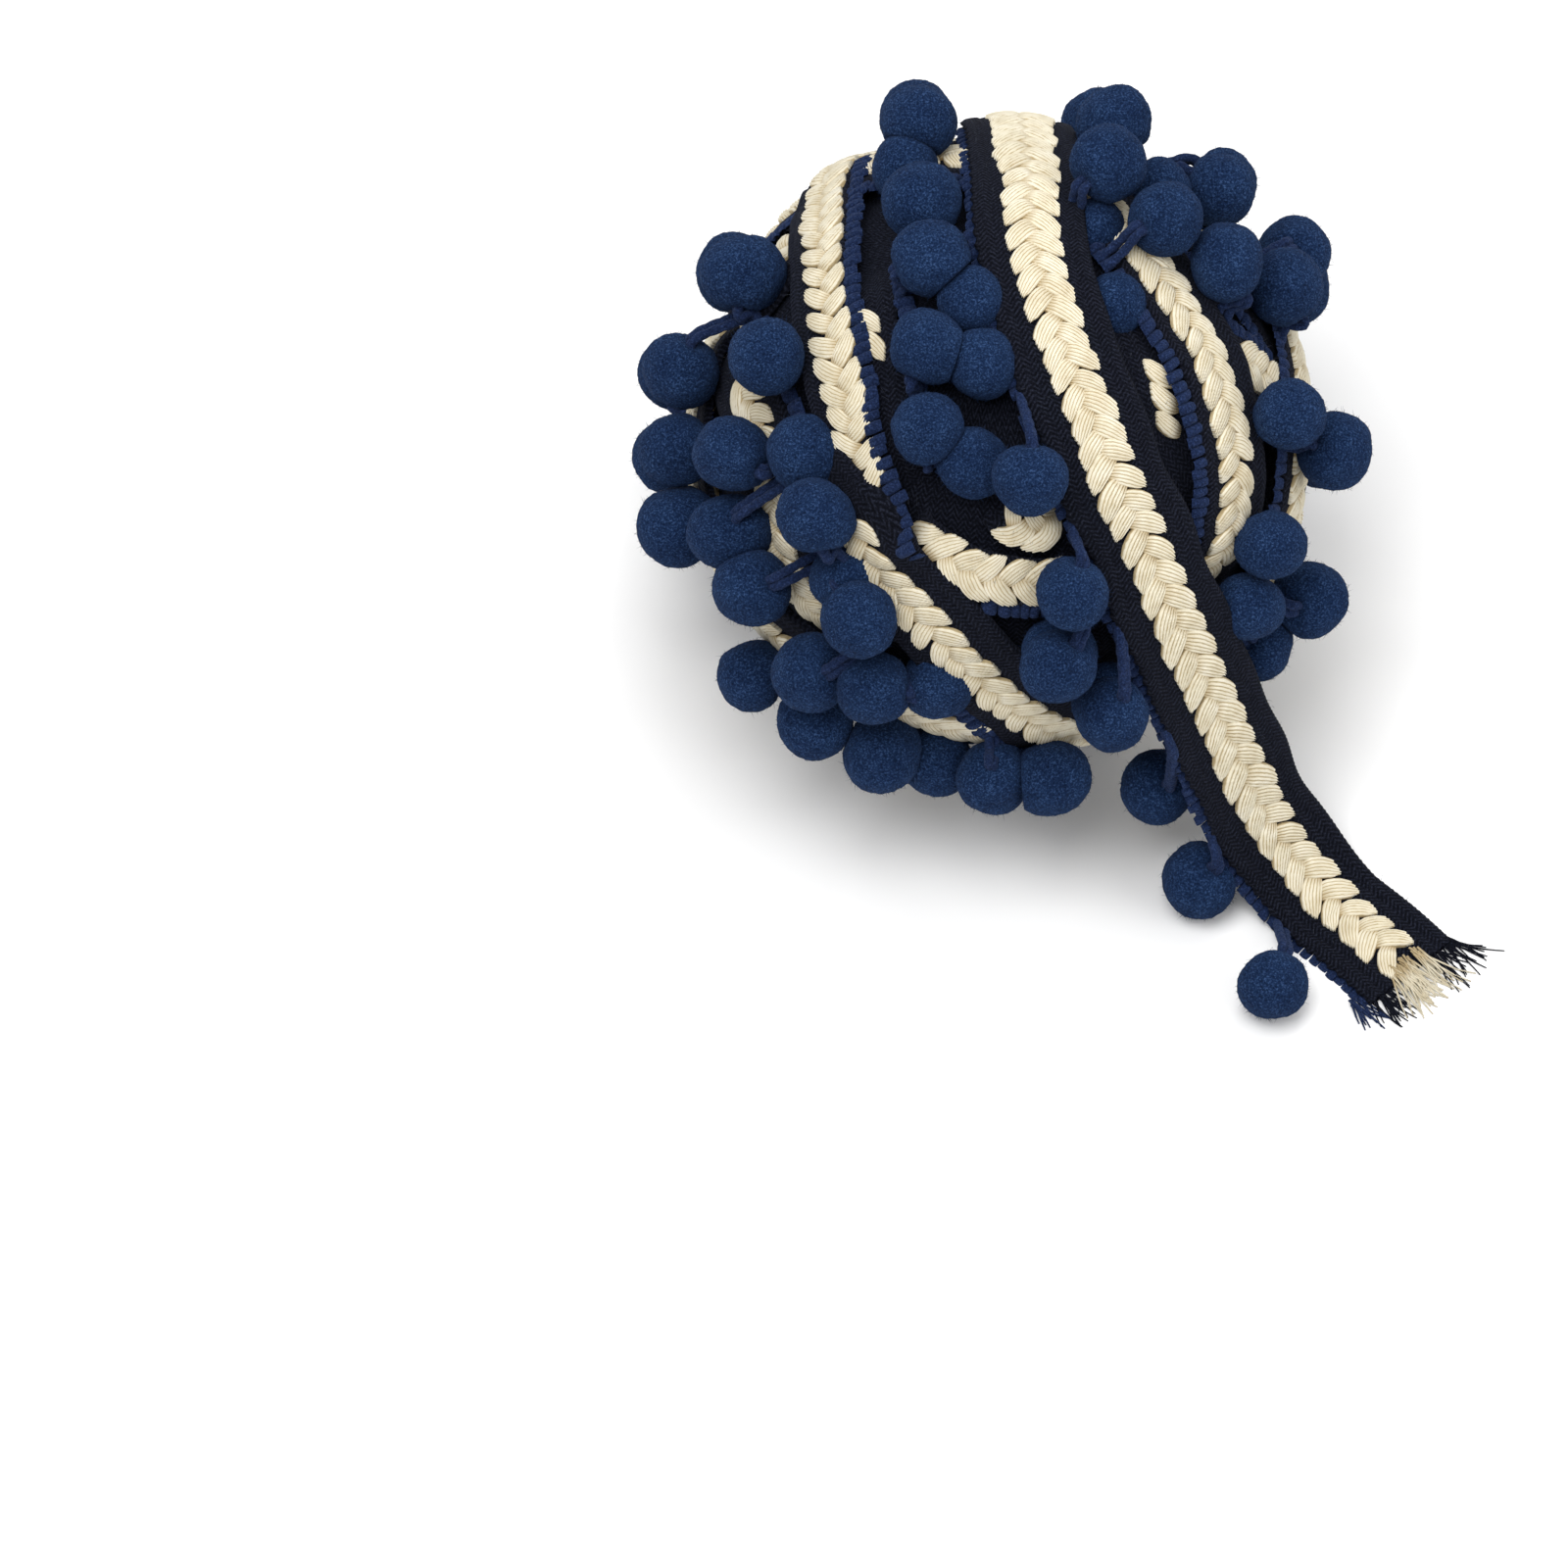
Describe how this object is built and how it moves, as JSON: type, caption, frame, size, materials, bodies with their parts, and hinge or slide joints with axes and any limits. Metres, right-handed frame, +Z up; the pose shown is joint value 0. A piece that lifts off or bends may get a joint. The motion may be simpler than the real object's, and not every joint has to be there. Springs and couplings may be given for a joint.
{
  "type": "pompom fringe trim",
  "caption": "Ball of woven tape trim with a plaited cotton braid down its middle and felted wool pompoms along one edge, its loose end hanging down to the table.",
  "frame": {"origin": "centre of the small flat spot that the ball rests on, straight below the ball's middle", "axes": "+Z up, -Y towards the side on which the loose end hangs down, +X to the side that it leans to"},
  "size_m": [0.1635, 0.1764, 0.1339],
  "materials": {
    "navy_tape": "matt woven tape",
    "ecru_braid": "matt plaited cotton",
    "blue_wool": "felted wool"
  },
  "bodies": {
    "root": {"ball": "navy_tape", "loose_tape": "navy_tape", "loose_braid": "ecru_braid", "loose_fringe": "blue_wool", "fringe_top_left": "blue_wool", "fringe_top_right": "blue_wool", "fringe_right_high": "blue_wool", "fringe_right_rim": "blue_wool", "fringe_right_low": "blue_wool", "fringe_right_front": "blue_wool", "fringe_left_high": "blue_wool", "fringe_left_rim": "blue_wool", "fringe_left_low": "blue_wool", "fringe_front_left": "blue_wool", "fringe_front_low": "blue_wool", "fringe_foot": "blue_wool", "fringe_back_right": "blue_wool", "fringe_back_top": "blue_wool", "fringe_back_left": "blue_wool", "fringe_back_mid": "blue_wool", "fringe_back_low": "blue_wool", "fringe_back_rim": "blue_wool", "fringe_left_foot": "blue_wool", "fringe_right_foot": "blue_wool"}
  },
  "joints": []
}
